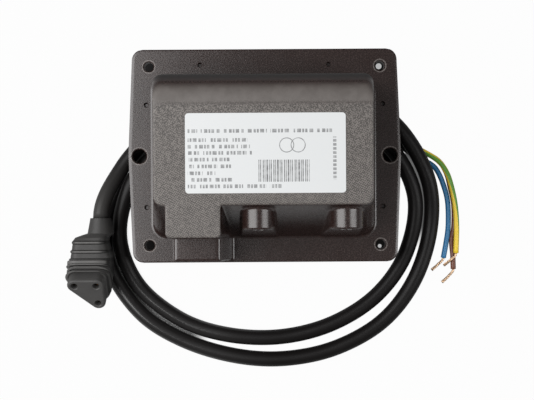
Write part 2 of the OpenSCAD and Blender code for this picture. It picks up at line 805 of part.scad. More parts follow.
module plug_contact(p) {
  color("#b08d3c")
    at_nose() translate([p[0], p[1], -contact_depth])
      difference() {
        cylinder(h = contact_l, d = contact_hole_d);
        translate([0, 0, 1]) cylinder(h = contact_l, d = contact_bore);
      }
}
module plug_contact_line() { plug_contact(pin_spots[0]); }
module plug_contact_neutral() { plug_contact(pin_spots[1]); }
module plug_contact_earth() { plug_contact(pin_spots[2]); }

module lead_sheath() {
  color("#161617")
    sweep_tube(curve(lead_points, 2, lead_start_dir), lead_sheath_d, 10, lead_start_dir, lead_out);
}

// A core runs out of the sheath; its bare strands carry on from its end
module core(points) {
  sweep_tube(curve(points, 2, lead_out), wire_d, 8, lead_out, out_dir(points));
}
module strands(core_points, points) {
  dir = out_dir(core_points);
  color("#c77b4a") sweep_tube(curve(points, 2, dir), strand_d, 8, dir, out_dir(points));
}
module core_blue() { color("#1f6fb2") core(blue_points); }
module core_green_yellow() { color("#c9c832") core(green_points); }
module core_brown() { color("#6b4630") core(brown_points); }
module strands_blue() { strands(blue_points, blue_bare); }
module strands_green_yellow() { strands(green_points, green_bare); }
module strands_brown() { strands(brown_points, brown_bare); }

housing();
potting();
seal_resin();
core_u();
core_i();
magnetic_shunt();
primary_bobbin();
primary_winding();
secondary_bobbin_left();
secondary_winding_left();
secondary_bobbin_right();
secondary_winding_right();
hv_pin_left();
hv_pin_right();
hv_lead_left();
hv_lead_right();
line_pin();
neutral_pin();
earth_pin();
line_lead();
neutral_lead();
earth_lead();
label();
plug_body();
plug_contact_line();
plug_contact_neutral();
plug_contact_earth();
lead_sheath();
core_blue();
core_green_yellow();
core_brown();
strands_blue();
strands_green_yellow();
strands_brown();
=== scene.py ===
import bmesh
import bpy
import numpy as np
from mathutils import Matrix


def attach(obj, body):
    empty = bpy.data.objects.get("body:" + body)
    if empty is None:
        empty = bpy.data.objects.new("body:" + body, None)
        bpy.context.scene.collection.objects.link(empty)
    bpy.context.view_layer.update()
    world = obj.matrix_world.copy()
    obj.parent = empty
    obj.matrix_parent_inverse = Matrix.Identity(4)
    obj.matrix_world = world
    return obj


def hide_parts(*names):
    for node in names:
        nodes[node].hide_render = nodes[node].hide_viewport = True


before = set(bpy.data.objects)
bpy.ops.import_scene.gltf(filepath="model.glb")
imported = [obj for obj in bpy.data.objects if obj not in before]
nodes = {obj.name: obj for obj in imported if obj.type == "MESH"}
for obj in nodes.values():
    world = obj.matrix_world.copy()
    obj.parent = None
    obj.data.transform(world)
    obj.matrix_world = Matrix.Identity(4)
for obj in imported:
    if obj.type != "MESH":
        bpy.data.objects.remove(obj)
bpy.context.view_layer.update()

# The camera looks straight down on the transformer, as it lies on its lead on a white table.
# It hangs 450 mm above the flange, a little to the terminal side of the middle.
MM = 0.001
CAMERA_PLACE = (0.9, -20.4, 450)
CAMERA_TURN_DEGREES = -0.35
SENSOR_WIDTH = 36
FOCAL_LENGTH_PX = 981
PICTURE_WIDTH_PX = 534


def add_object(name, data):
    """Puts a mesh, a camera or a lamp into the scene."""
    made = bpy.data.objects.new(name, data)
    bpy.context.scene.collection.objects.link(made)
    return made


camera = add_object("camera", bpy.data.cameras.new("camera"))
camera.location = [v * MM for v in CAMERA_PLACE]
camera.rotation_euler = (0, 0, np.radians(CAMERA_TURN_DEGREES))
camera.data.sensor_width = SENSOR_WIDTH
camera.data.lens = FOCAL_LENGTH_PX * SENSOR_WIDTH / PICTURE_WIDTH_PX
camera.data.clip_start = 0.01
bpy.context.scene.camera = camera


# The mains lead is a round PVC sheath, extruded over three twisted cores. It comes out of the
# plug, lies on the table in two turns under the flange, and ends where it was stripped.
class Shade:
    """A socket of a material's nodes. Python's operators on it add Math nodes."""

    def __init__(self, finish, socket):
        self.finish = finish
        self.socket = socket

    def math(self, operation, *values):
        return self.finish.node("ShaderNodeMath", {"operation": operation}, values)

    def __add__(self, other):
        return self.math("ADD", self, other)

    def __sub__(self, other):
        return self.math("SUBTRACT", self, other)

    def __rsub__(self, other):
        return self.math("SUBTRACT", other, self)

    def __mul__(self, other):
        return self.math("MULTIPLY", self, other)

    def __gt__(self, other):
        return self.math("GREATER_THAN", self, other)

    def __lt__(self, other):
        return self.math("LESS_THAN", self, other)

    def __pow__(self, other):
        return self.math("POWER", self, other)

    __radd__ = __add__
    __rmul__ = __mul__

    def abs(self):
        return self.math("ABSOLUTE", self)

    def sin(self):
        return self.math("SINE", self)

    def cycle(self):
        return self.math("FRACT", self)

    def least(self, other):
        return self.math("MINIMUM", self, other)

    def most(self, other):
        return self.math("MAXIMUM", self, other)

    def hypot(self, other):
        """The distance whose two parts are this and the other: the root of their squares' sum."""
        return (self * self + other * other) ** 0.5

    def rise(self, low, high):
        """0 below low, 1 above high, and a smooth step between them."""
        settings = {"interpolation_type": "SMOOTHSTEP"}
        return self.finish.node("ShaderNodeMapRange", settings, (self, low, high, 0.0, 1.0))


class Finish:
    """A material in the making. Keyword arguments set the main shader's own sockets."""

    def __init__(self, name, **sockets):
        self.material = bpy.data.materials.new(name)
        self.material.use_nodes = True
        self.tree = self.material.node_tree
        self.shader = self.tree.nodes["Principled BSDF"]
        for key, value in sockets.items():
            self.set(key.replace("_", " "), value)

    def link(self, socket, value):
        """Feeds a socket from another one, or with a number or a colour of three numbers."""
        if isinstance(value, Shade):
            self.tree.links.new(value.socket, socket)
        elif socket.type == "RGBA":
            socket.default_value = (*value, 1)
        else:
            socket.default_value = value

    def set(self, socket, value):
        self.link(self.shader.inputs[socket], value)

    def node(self, kind, settings=None, values=(), output=0):
        """Adds a node, sets its settings, then its sockets by place or name."""
        made = self.tree.nodes.new(kind)
        for key, value in (settings or {}).items():
            setattr(made, key, value)
        pairs = values.items() if isinstance(values, dict) else enumerate(values)
        for key, value in pairs:
            self.link(made.inputs[key], value)
        return Shade(self, made.outputs[output])

    def place(self):
        """Object coordinates, in metres, which are the part's own."""
        return self.node("ShaderNodeTexCoord", output="Object")

    def run(self):
        """The UV map that grid_mesh keeps its marks in."""
        return self.node("ShaderNodeUVMap", {"uv_map": "run"})

    def axes(self, vector):
        """The three numbers of a vector."""
        return [self.node("ShaderNodeSeparateXYZ", None, (vector,), k) for k in range(3)]

    def noise(self, vector, scale, detail=2.0, roughness=0.5):
        values = {"Vector": vector, "Scale": scale, "Detail": detail, "Roughness": roughness}
        return self.node("ShaderNodeTexNoise", None, values)

    def mix(self, share, first, second):
        """A colour between two, as far along as the share."""
        return self.node("ShaderNodeMix", {"data_type": "RGBA"}, {0: share, 6: first, 7: second}, 2)

    def bump(self, height, distance, strength=1.0):
        values = {"Height": height, "Distance": distance, "Strength": strength}
        self.set("Normal", self.node("ShaderNodeBump", None, values))


def dress(piece, finish):
    piece.data.materials.clear()
    piece.data.materials.append(finish.material)


def unit(v):
    return v / np.linalg.norm(v, axis=-1, keepdims=True)


def distances(route):
    """The distance along a route at each of its points."""
    return np.concatenate([[0], np.cumsum(np.linalg.norm(np.diff(route, axis=0), axis=1))])


def smooth_route(points, first_way, steps):
    """A cubic through each pair of points whose end slopes are half the chord between the
    neighbours; before the first point stands one that gives the first slope."""
    p = np.array(points, float)
    before = p[1] - 2 * np.linalg.norm(p[1] - p[0]) * unit(np.array(first_way, float))
    q = np.vstack([before, p, 2 * p[-1] - p[-2]])
    a, b, c, d = (q[k : k + len(p) - 1, None] for k in range(4))
    t = (np.arange(steps) / steps)[None, :, None]
    spans = 0.5 * (
        2 * b + (c - a) * t + (2 * a - 5 * b + 4 * c - d) * t**2 + (3 * b - a - 3 * c + d) * t**3
    )
    return np.vstack([spans.reshape(-1, 3), p[-1]])


def square_axes(route, first, last=None):
    """At each point of a route, the two ways square to it: the level one, and the one above it.
    The route leaves its first point in the way first, and its end in the way last if given."""
    way = unit(np.gradient(route, axis=0))
    way[0] = unit(np.array(first, float))
    if last is not None:
        way[-1] = unit(np.array(last, float))
    level = unit(np.cross(way, [0, 0, 1.0]))
    return level, np.cross(level, way)


def circles(level, above, sides):
    """Circles of radius 1: minus the cosine of the turn along the level way, plus its sine
    along the way above."""
    turn = 2 * np.pi * np.arange(sides) / sides
    return -np.cos(turn)[:, None] * level[:, None] + np.sin(turn)[:, None] * above[:, None]


def grid_mesh(name, points, caps=True, marks=None):
    """A mesh from a grid of points, rows by columns, whose rows close round on themselves. Caps
    close the first and last row. marks is a pair of numbers for each point, kept as the mesh's
    UV map, and the first number goes up by one where a row closes."""
    rows, cols = points.shape[:2]
    i, k = np.meshgrid(np.arange(rows - 1), np.arange(cols), indexing="ij")
    right = (k + 1) % cols
    quads = np.stack([i * cols + k, i * cols + right, (i + 1) * cols + right, (i + 1) * cols + k], -1)
    faces = quads.reshape(-1, 4).tolist()
    if caps:
        faces += [list(range(cols))[::-1], list(range((rows - 1) * cols, rows * cols))]
    mesh = bpy.data.meshes.new(name)
    mesh.from_pydata((points.reshape(-1, 3) * MM).tolist(), [], faces)
    mesh.shade_smooth()
    if marks is not None:
        seam = (right == 0)[..., None] * np.array([1, 0])
        near, far = marks[i, right] + seam, marks[i + 1, right] + seam
        corners = np.stack([marks[i, k], near, far, marks[i + 1, k]], -2).reshape(-1, 2)
        layer = mesh.uv_layers.new(name="run")
        uv = np.zeros((len(mesh.loops), 2))
        uv[: len(corners)] = corners
        layer.data.foreach_set("uv", uv.ravel())
    return add_object(name, mesh)


def tube(name, route, diameter, sides, first, last):
    """Circles carried square to the route, which starts in the way first and ends in the way
    last. The UV map holds the share of the way round, and the distance along in metres."""
    level, above = square_axes(route, first, last)
    points = route[:, None] + diameter / 2 * circles(level, above, sides)
    share = np.broadcast_to(np.arange(sides) / sides, points.shape[:2])
    marks = np.stack([share, np.broadcast_to(distances(route)[:, None] * MM, share.shape)], -1)
    return grid_mesh(name, points, marks=marks)


LEAD_D = 7.2
LEAD_START = (-75.9, -28.3, -3.3)
LEAD_END = (65, 6, -16)
LEAD_IN = (0, 1, 0)
LEAD_OUT = (18, -11, 0)
LEAD_ROUTE = smooth_route(
    [
        LEAD_START,
        (-66.9, -5.1, -9), (-50.2, 13, -8.8), (-30.3, 26.2, -8.7), (-7.4, 32.8, -8.7),
        (17.6, 32.3, -8.7), (41.4, 27.5, -9.3), (62.1, 13.6, -8.7), (76.1, -9.6, -10.8),
        (78.4, -33, -15.2), (71, -57.9, -15.7), (55.9, -77.8, -15.9), (33.9, -90.4, -15.7),
        (9.9, -95.6, -15.9), (-14.1, -94.3, -15.9), (-38.8, -86.8, -16), (-59.4, -73.5, -15.8),
        (-73.9, -51.3, -16), (-74.5, -28.7, -15.9), (-62.3, -9.6, -16), (-41, 2.2, -15.8),
        (-10.7, 11.5, -13.9), (13.1, 14.3, -10.6), (38.1, 13.9, -9.2), (58.8, 3.7, -9.5),
        (70.5, -19.4, -11.9), (66.8, -45.4, -15.4), (52.9, -65.6, -15.9), (31.7, -79.1, -15.7),
        (7.2, -85.3, -16), (-18.3, -84.1, -15.5), (-41.1, -76.4, -16), (-61, -59.5, -15.5),
        (-68.8, -35.8, -12.6), (-61.1, -10.1, -8.7), (-43.6, 7.2, -10.6), (-23.5, 18.2, -14.5),
        (1.3, 25, -15.8), (25.2, 23.5, -16), (46.9, 16.9, -16),
        LEAD_END,
    ],
    LEAD_IN,
    steps=10,
)  # fmt: skip


sheath = tube("mains_lead_sheath", LEAD_ROUTE, LEAD_D, sides=28, first=LEAD_IN, last=LEAD_OUT)
pvc = Finish("sheath_pvc", Specular_IOR_Level=0.2, Coat_Roughness=0.2)
spot = pvc.place()
x, y, _ = pvc.axes(spot)
# The lower-left turn has a glossy coat and a painted sheen; the lead is lighter grey out of the plug.
glossy_and_painted_sheen = x.rise(0.01, -0.03) * y.rise(-0.05, -0.07) * x.rise(-0.085, -0.07)
along = pvc.axes(pvc.run())[1]
near_plug = 1 - along.rise(0.0, 0.035)
black = pvc.mix(pvc.noise(spot, 60.0, 3.0), (0.0065, 0.0055, 0.0055), (0.01, 0.009, 0.009))
# painted sheen: the colour of the lower-left turn is lighter
black = pvc.mix(glossy_and_painted_sheen * 0.2, black, (0.03, 0.0285, 0.0285))
pvc.set("Base Color", pvc.mix(near_plug * 0.8, black, (0.06, 0.058, 0.056)))
pvc.set("Coat Weight", glossy_and_painted_sheen * (pvc.noise(spot, 90.0, 3.0) * 0.6 + 0.6))
pvc.set("Roughness", pvc.noise(spot, 35.0) * 0.08 + 0.36)
pvc.bump(pvc.noise(spot, 50.0, 1.0), 0.00004, 0.15)
dress(sheath, pvc)
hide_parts("lead_sheath")
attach(sheath, "root")

# Three cores of PVC over fine copper strands come out of the cut sheath. The green and yellow
# one is extruded in two colours, and all three were stripped at their ends by hand.
CORE_D = 2.5
STRIPE_TURNS = 8
# Three wires lie in the middle and nine round them, each lot on a ring of its own radius.
WIRE_D = 0.3
INNER_WIRES = 3
OUTER_WIRES = 9
INNER_RING = 0.175
OUTER_RING = 0.46
OUTER_TURN = 0.06
LAY_LENGTH = 16
SPLAY = 0.25


def core_spot(across, up):
    """A place on the cut end of the sheath, across the lead and up from its middle."""
    sideways = np.cross(unit(np.array(LEAD_OUT, float)), [0, 0, 1.0])
    return np.array(LEAD_END, float) + across * sideways + [0, 0, up]


# Each core: the route of its insulation, and that of its bare wires past the insulation's end.
CORES = {
    "blue": (
        [
            core_spot(1.45, 0.7), (70.9, 0.5, -17.4), (79.1, -3.7, -18.3), (82.4, -7.3, -18.3),
            (85.1, -13.6, -18.3), (87.1, -21.8, -18.3), (87.3, -33.3, -18.3), (86.2, -41.5, -18.3),
            (84.9, -48.5, -18.3),
        ],
        [(82.4, -51.6, -18.6), (79.3, -54.3, -18.7)],
    ),
    "green_yellow": (
        [
            core_spot(-1.45, 0.7), (73, 3.4, -15.5), (81.8, -1.9, -15.7), (86.2, -7.7, -15.7),
            (88.6, -15, -15.7), (90.2, -23.3, -15.7), (90.8, -33.3, -15.7), (90.5, -46.1, -15.9),
        ],
        [(88, -49.4, -16.6), (85.2, -52.1, -18.5)],
    ),
    "brown": (
        [
            core_spot(0, -1.5), (72.9, 3.2, -18.3), (82.2, -1.6, -18.3), (86.4, -7.6, -18.3),
            (88.4, -15, -18.3), (90, -23.3, -18.3), (90, -33.3, -18.3), (88.9, -40.1, -18.3),
            (89.4, -47.1, -18.3), (89.6, -53.8, -18.3),
        ],
        [(87.3, -57.3, -18.6), (84.2, -60.2, -18.7)],
    ),
}  # fmt: skip
CORE_COLOURS = {
    "blue": ((0.03, 0.2, 0.43), (0.03, 0.2, 0.43)),
    "green_yellow": ((1.0, 0.71, 0.05), (0.13, 0.34, 0.04)),
    "brown": ((0.17, 0.056, 0.03), (0.17, 0.056, 0.03)),
}


def speckled(name, scale, first, second, detail=2.0, **sockets):
    """A finish whose colour wanders between two with a noise."""
    finish = Finish(name, **sockets)
    finish.set("Base Color", finish.mix(finish.noise(finish.place(), scale, detail), first, second))
    return finish


copper = speckled(
    "bare_copper", 900.0, (0.74, 0.49, 0.31), (0.92, 0.73, 0.53), Metallic=1.0, Roughness=0.32
)


def joined(pieces):
    """Joins pieces into the first of them."""
    with bpy.context.temp_override(active_object=pieces[0], selected_editable_objects=pieces):
        bpy.ops.object.join()
    return pieces[0]


def strand_bundle(name, route, first):
    """Fine wires that turn round the route together: each wire's middle stays at its own place
    of the inner or outer ring, turned by one round in a lay length, and the rings widen with the
    square of the distance along, so that the tip splays a little."""
    level, above = square_axes(route, first)
    along = distances(route)
    inner, outer = (np.arange(count) / count for count in (INNER_WIRES, OUTER_WIRES))
    place = np.concatenate([inner, outer + OUTER_TURN]) * 2 * np.pi
    reach = np.repeat([INNER_RING, OUTER_RING], [INNER_WIRES, OUTER_WIRES])
    turn = (place[:, None] + along / LAY_LENGTH * 2 * np.pi)[..., None]
    spread = (reach[:, None] * (1 + SPLAY * (along / along[-1]) ** 2))[..., None]
    middles = route + spread * (np.cos(turn) * level + np.sin(turn) * above)
    bundle = middles[:, :, None] + WIRE_D / 2 * circles(level, above, sides=7)
    wires = joined([grid_mesh(f"{name}_{k}", points) for k, points in enumerate(bundle)])
    wires.name = name
    return wires


for colour, (points, bare) in CORES.items():
    route = smooth_route(points, LEAD_OUT, steps=8)
    last = np.array(points[-1], float) - np.array(points[-2], float)
    core = tube(f"core_{colour}_insulation", route, CORE_D, sides=20, first=LEAD_OUT, last=last)
    skin = Finish(f"core_pvc_{colour}", Roughness=0.38)
    plain, stripe = CORE_COLOURS[colour]
    round_share, distance, _ = skin.axes(skin.run())
    from_stripe = ((round_share + distance * STRIPE_TURNS + 0.06).cycle() - 0.5).abs()
    hue = skin.mix(from_stripe.rise(0.11, 0.16), stripe, plain)
    # painted shade: the cores are dark where they leave the sheath's end
    painted_shade_at_sheath_end = 1 - skin.axes(skin.place())[0].rise(0.0695, 0.073)
    skin.set("Base Color", skin.mix(painted_shade_at_sheath_end, hue, (0.008, 0.007, 0.007)))
    skin.bump(skin.noise(skin.place(), 700.0), 0.00004, 0.3)
    dress(core, skin)
    bare_route = smooth_route([points[-1], *bare], last, steps=10)
    wires = strand_bundle(f"strands_{colour}_wires", bare_route, last)
    dress(wires, copper)
    colour + "_insulation"
    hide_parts(f"core_{colour}")
    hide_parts(f"strands_{colour}")
    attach(core, "root")
    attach(wires, "root")
    [x * MM for x in points[0]]

# The plug is a soft black moulding over the lead's end. Its nose holds three contact tubes in a
# right angle, and ribs round its turn give the fingers a grip.
HALF_PITCH = 4.9
PLUG_X = LEAD_START[0] - HALF_PITCH
PLUG_Z = LEAD_START[2]
COLLAR_L = 7.6
COLLAR_R = 4.8
COLLAR_FLARE = 1.4
STRAIGHT = 10.6
BEND_R = 16.0
TURN = np.radians(56)
NOSE_L = 5.4
NOSE_R = 3.3
FACE_EDGE_R = 1
TURN_S = COLLAR_L + STRAIGHT
NOSE_S = TURN_S + BEND_R * TURN
PLUG_S = NOSE_S + NOSE_L
# The corners of the contacts' triangle: place, and the turn from the first to the last degree.
CORNERS = (
    (HALF_PITCH, HALF_PITCH, 0, 90),
    (-HALF_PITCH, HALF_PITCH, 90, 225),
    (HALF_PITCH, -HALF_PITCH, 225, 360),
)
CONTACTS = ((-HALF_PITCH, HALF_PITCH), (HALF_PITCH, HALF_PITCH), (HALF_PITCH, -HALF_PITCH))
# A contact's hole, as radius and depth.
CONTACT_HOLE = ((1.85, 0.0), (1.5, 0.35), (1.5, 11.0))
HOLE_SIDES = 24
STEP_S = 0.22
# Places along the plug, with the swell of its right side and the share of the triangle there.
SWELL_S, SWELL = (11, 17, 31, 34), (0, 1.7, 1.7, 0)
BLEND_S, BLEND = (0, 7.0, 7.8, 8.8, 10.2, 14.6, 17.6), (0, 0, 0.35, 0.72, 0.86, 0.93, 1)
# Each rib: middle along the plug, half its flat top, height above and below, height at the
# left, and width of its flanks.
RIBS = (
    (11.0, 0.25, 1.0, 0.45, 0.6),
    (15.1, 0.25, 1.0, 0.6, 0.6),
    (18.8, 0.2, 0.6, 0.7, 0.5),
    (21.6, 1.2, 1.5, 1.5, 1.6),
    (24.4, 0.3, 1.2, 1.8, 0.6),
    (28.1, 0.4, 1.9, 1.4, 0.6),
    (32.4, 0.3, 0.9, 1.7, 0.6),
)


def plug_middle(s):
    """The plug's middle line after the distance s: straight along the lead, then a turn of
    radius BEND_R upwards, then straight out to the mating face. Returns points and the turn."""
    a = np.clip((s - TURN_S) / BEND_R, 0, TURN)
    past = np.maximum(0, s - NOSE_S)
    y = LEAD_START[1] - np.minimum(s, TURN_S) - BEND_R * np.sin(a) - past * np.cos(a)
    z = PLUG_Z + BEND_R * (1 - np.cos(a)) + past * np.sin(a)
    return np.stack([np.full_like(y, PLUG_X), y, z], -1), a


def plug_outline(per_corner):
    """The triangle of the contacts as spots on it and ways out of it: the way turns at each
    contact and stays the same along each side."""
    spots, ways = [], []
    for k, (x, y, first, last) in enumerate(CORNERS):
        turn = np.radians(np.linspace(first, last, per_corner))
        spots.append(np.repeat([(x, y)], per_corner, 0))
        ways.append(np.stack([np.cos(turn), np.sin(turn)], -1))
        following = CORNERS[(k + 1) % 3][:2]
        t = np.linspace(0, 1, per_corner)[1:-1, None]
        spots.append((1 - t) * np.array((x, y)) + t * np.array(following))
        ways.append(np.repeat(ways[-1][-1:], per_corner - 2, 0))
    return np.vstack(spots).astype(float), np.vstack(ways)


def plug_surface(s, reach, share, spots, ways):
    """The triangle, grown by reach along its ways and by swell at its right side, blended with
    the collar's circle by share, and carried along the middle line."""
    triangle = spots[None] + reach[..., None] * ways[None]
    triangle[..., 0] += np.interp(s, SWELL_S, SWELL)[:, None] * np.maximum(ways[None, :, 0], 0)
    hub = np.array([HALF_PITCH, 0])
    collar = COLLAR_R + COLLAR_FLARE * np.minimum(1, s / COLLAR_L)
    circle = hub + collar[:, None, None] * unit(spots + NOSE_R * ways - hub)
    outline = (1 - share)[:, None, None] * circle + share[:, None, None] * triangle
    middle, a = plug_middle(s)
    up = np.stack([np.zeros_like(a), np.sin(a), np.cos(a)], -1)
    return middle[:, None] + outline[..., :1] * np.array([1.0, 0, 0]) + outline[..., 1:] * up[:, None]


def ridge(s, middle, half, flank):
    """1 on a flat top round a middle, and a smooth step down to 0 over each flank."""
    x = np.clip((half + flank - np.abs(s - middle)) / flank, 0, 1)
    return x * x * (3 - 2 * x)


spots, ways = plug_outline(per_corner=9)
face_edge = PLUG_S - FACE_EDGE_R
face_rings = face_edge + np.sin(np.radians([0, 20, 40, 60, 80, 90]))
s = np.concatenate([np.arange(0, face_edge, STEP_S), face_rings])
left, right = np.maximum(-ways[:, 0], 0), np.maximum(ways[:, 0], 0)
rib_rise = sum(
    ridge(s, middle, half, flank)[:, None] * (height * (1 - 0.8 * right - left) + left_height * left)
    for middle, half, height, left_height, flank in RIBS
)
past = np.clip(s - face_edge, 0, FACE_EDGE_R)
face_round = np.minimum(FACE_EDGE_R - np.sqrt(FACE_EDGE_R**2 - past**2), 0.8)
share = np.interp(s, BLEND_S, BLEND)
skin_points = plug_surface(s, NOSE_R + rib_rise - face_round[:, None], share, spots, ways)
marks = np.stack([np.broadcast_to(np.arange(len(spots)) / len(spots), rib_rise.shape), rib_rise * MM], -1)
plug = grid_mesh("plug_moulding", skin_points, caps=False, marks=marks)


def close_plug(piece, skin_points):
    """Closes the collar's end, and the mating face round three holes with a tube and a floor."""
    grid = bmesh.new()
    grid.from_mesh(piece.data)
    grid.verts.ensure_lookup_table()
    rows, cols = skin_points.shape[:2]
    collar_rim = grid.verts[:cols]
    face_rim = grid.verts[(rows - 1) * cols : rows * cols]
    grid.faces.new(collar_rim[::-1])
    middle, (a,) = plug_middle(np.array([PLUG_S]))
    across = np.array([1.0, 0, 0])
    up = np.array([0, np.sin(a), np.cos(a)])
    out = np.array([0, -np.cos(a), np.sin(a)])
    turn = 2 * np.pi * np.arange(HOLE_SIDES) / HOLE_SIDES
    rim = [grid.edges.get(pair) for pair in zip(face_rim, face_rim[1:] + face_rim[:1])]
    for x, y in CONTACTS:
        rings = []
        for radius, depth in CONTACT_HOLE:
            centre = middle[0] + x * across + y * up - depth * out
            ring = centre + radius * (np.cos(turn)[:, None] * across + np.sin(turn)[:, None] * up)
            rings.append([grid.verts.new(point * MM) for point in ring])
        for near, far in zip(rings, rings[1:]):
            for corners in zip(near, near[1:] + near[:1], far[1:] + far[:1], far):
                grid.faces.new(corners)
        grid.faces.new(rings[-1][::-1])
        mouth = rings[0]
        rim += [grid.edges.get(pair) for pair in zip(mouth, mouth[1:] + mouth[:1])]
    bmesh.ops.triangle_fill(grid, edges=rim, use_beauty=True)
    bmesh.ops.recalc_face_normals(grid, faces=grid.faces)
    grid.to_mesh(piece.data)
    grid.free()
    piece.data.shade_smooth()
    piece.data.set_sharp_from_angle(angle=np.radians(38))


close_plug(plug, skin_points)
rubber = Finish("plug_rubber", Roughness=0.5, Specular_IOR_Level=0.4)
spot = rubber.place()
_, y, z = rubber.axes(spot)
height = rubber.axes(rubber.run())[1]
# The half towards the lead is darker. Painted shade darkens the foot of each rib and a band across
# the top, and a painted highlight makes the tops of the ribs pale.
# painted shade at the foot of each rib and in a band across the top
rib_foot_shade = height.rise(0.0, 0.0001) * (1 - height.rise(0.0003, 0.0006))
painted_shade_band = y.rise(-0.0497, -0.0491) * (1 - y.rise(-0.0478, -0.0472)) * (z > 0)
body = rubber.mix(rubber.noise(spot, 120.0, 4.0), (0.05, 0.0485, 0.0475), (0.085, 0.083, 0.081))
body = rubber.mix(y.rise(-0.056, -0.052) * 0.5, body, (0.02, 0.019, 0.0185))
body = rubber.mix(rib_foot_shade.most(painted_shade_band) * 0.85, body, (0.008, 0.0075, 0.007))
# painted highlight: the tops of the ribs are pale
rubber.set("Base Color", rubber.mix(height.rise(0.0006, 0.0009), body, (0.12, 0.117, 0.114)))
rubber.set("Roughness", rubber.noise(spot, 300.0, 3.0) * 0.2 + 0.42)
rubber.bump(rubber.noise(spot, 2600.0, 3.0), 0.00006, 0.5)
dress(plug, rubber)
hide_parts("plug_body")
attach(plug, "root")

brass = speckled(
    "contact_brass", 400.0, (0.62, 0.45, 0.2), (0.75, 0.58, 0.3), Metallic=1.0, Roughness=0.3
)
contacts = [nodes[f"plug_contact_{name}"] for name in ("line", "neutral", "earth")]
for contact in contacts:
    dress(contact, brass)

# The case is one dark thermoset moulding: a flange, the case with its round shoulder, the mains
# socket block and two outlets. Its front face is finely grained, and the rest came smooth
# from the tool.
CASE_H = 48.0
CASE_X = -0.5
# Halves, fronts and backs hold at the top of each form, and its walls slope out from there.
CASE_HALF = 45.4
CASE_FRONT = -22.3
CASE_BACK = 20.5
CASE_EDGE = 1.0
CASE_CORNER_R = 3.5
SHOULDER_R = 12.4
BLOCK_X = -29.55
BLOCK_HALF = 11.45
BLOCK_FRONT = -35.9
BLOCK_BACK = -16.9
BLOCK_CORNER_R = 2.0
LEDGE_H = 24
LEDGE_HALF = 10.3
LEDGE_FRONT = -47.1
LEDGE_BACK = -30.0
LEDGE_EDGE = 1.6
LEDGE_FILLET = 0.8
LEDGE_CORNER_R = 0.6
OUTLETS = (-2.7, 34.2)
OUTLET_Z = 38.0
OUTLET_R = 7
OUTLET_FRONT = -32.8
OUTLET_BACK = -12
FILLET = 1.2
FLANGE_HALF = 62.65
CORNER_HALF = 60.8
FLANGE_TOP = 48.9
CORNER_R = 5.0
FLANGE_T = 5.0
SIDE_SLOPE = np.tan(np.radians(6))
BLOCK_SLOPE = np.tan(np.radians(3.5))
BACK_SLOPE = 0.06
# How far a wall has come out, or a corner's radius has grown, where it meets the flange.
CASE_FRONT_DRAFT = 14.6
CASE_CORNER_DRAFT = 2.5
BLOCK_DRAFT = 1.2
LEDGE_DRAFT = 0.6
LEDGE_SIDE_DRAFT = 2.7
LEDGE_SHIFT = 1.5
OUTLET_DRAFT = 4.1
OUTLET_SIDE_DRAFT = 1.5


def soft_max(a, b, k):
    """The larger of two distances, with a round edge about k wide where they meet."""
    near = np.maximum(k - np.abs(a - b), 0) / k
    return np.maximum(a, b) + near * near * k / 4


def soft_min(a, b, k):
    return -soft_max(-a, -b, k)


def plan_box(x, y, middle, half, low, high, r):
    """Distance in plan to a rectangle with round corners."""
    qx = np.abs(x - middle) - half + r
    qy = np.abs(y - (low + high) / 2) - (high - low) / 2 + r
    return np.hypot(np.maximum(qx, 0), np.maximum(qy, 0)) + np.minimum(np.maximum(qx, qy), 0) - r


def case_plan(x, y, z):
    """The case at a height: side walls that slope by 6 degrees, a front wall that slopes out to
    the terminals, and a back wall that ends in the round shoulder."""
    down = CASE_H - z
    half = CASE_HALF + down * SIDE_SLOPE
    low = CASE_FRONT - CASE_FRONT_DRAFT * down / CASE_H
    past = np.maximum(SHOULDER_R - down, 0)
    bow = np.sqrt(np.maximum(SHOULDER_R**2 - past**2, 0))
    high = CASE_BACK + bow + BACK_SLOPE * np.maximum(down - SHOULDER_R, 0)
    return plan_box(x, y, CASE_X, half, low, high, CASE_CORNER_R + CASE_CORNER_DRAFT * down / CASE_H)


def case_field(x, y, z):
    """Below 0 inside the moulding. The case and the socket block are joined in plan and share
    their flat top; the ledge, the two outlets and the flange are blended on with fillets."""
    down = CASE_H - z
    block_half = BLOCK_HALF + down * BLOCK_SLOPE
    block_front = BLOCK_FRONT - BLOCK_DRAFT * down / CASE_H
    block = plan_box(x, y, BLOCK_X, block_half, block_front, BLOCK_BACK, BLOCK_CORNER_R)
    body = soft_max(soft_min(case_plan(x, y, z), block, FILLET), z - CASE_H, CASE_EDGE)
    sink = np.maximum(LEDGE_H - z, 0) / LEDGE_H
    ledge_x = BLOCK_X + LEDGE_SHIFT * sink
    ledge_half = LEDGE_HALF + LEDGE_SIDE_DRAFT * sink
    ledge_front = LEDGE_FRONT - LEDGE_DRAFT * sink
    ledge = plan_box(x, y, ledge_x, ledge_half, ledge_front, LEDGE_BACK, LEDGE_CORNER_R)
    body = soft_min(body, soft_max(ledge, z - LEDGE_H, LEDGE_EDGE), LEDGE_FILLET)
    sink = np.maximum(OUTLET_Z - z, 0) / OUTLET_Z
    for middle in OUTLETS:
        lower = np.abs(x - middle) - OUTLET_SIDE_DRAFT * sink
        barrel = np.where(z > OUTLET_Z, np.hypot(x - middle, z - OUTLET_Z), lower) - OUTLET_R
        end = OUTLET_FRONT - OUTLET_DRAFT * sink - y
        outlet = soft_max(np.maximum(barrel, y - OUTLET_BACK), end, FILLET)
        body = soft_min(body, outlet, FILLET)
    return soft_min(body, z, FILLET)


def front_height(x, y):
    """The height where the case's field turns from below 0 to above it, found by halving."""
    low, high = np.full(x.shape, -1.0), np.full(x.shape, CASE_H + 2)
    for _ in range(24):
        z = (low + high) / 2
        inside = case_field(x, y, z) < 0
        low, high = np.where(inside, z, low), np.where(inside, high, z)
    return (low + high) / 2


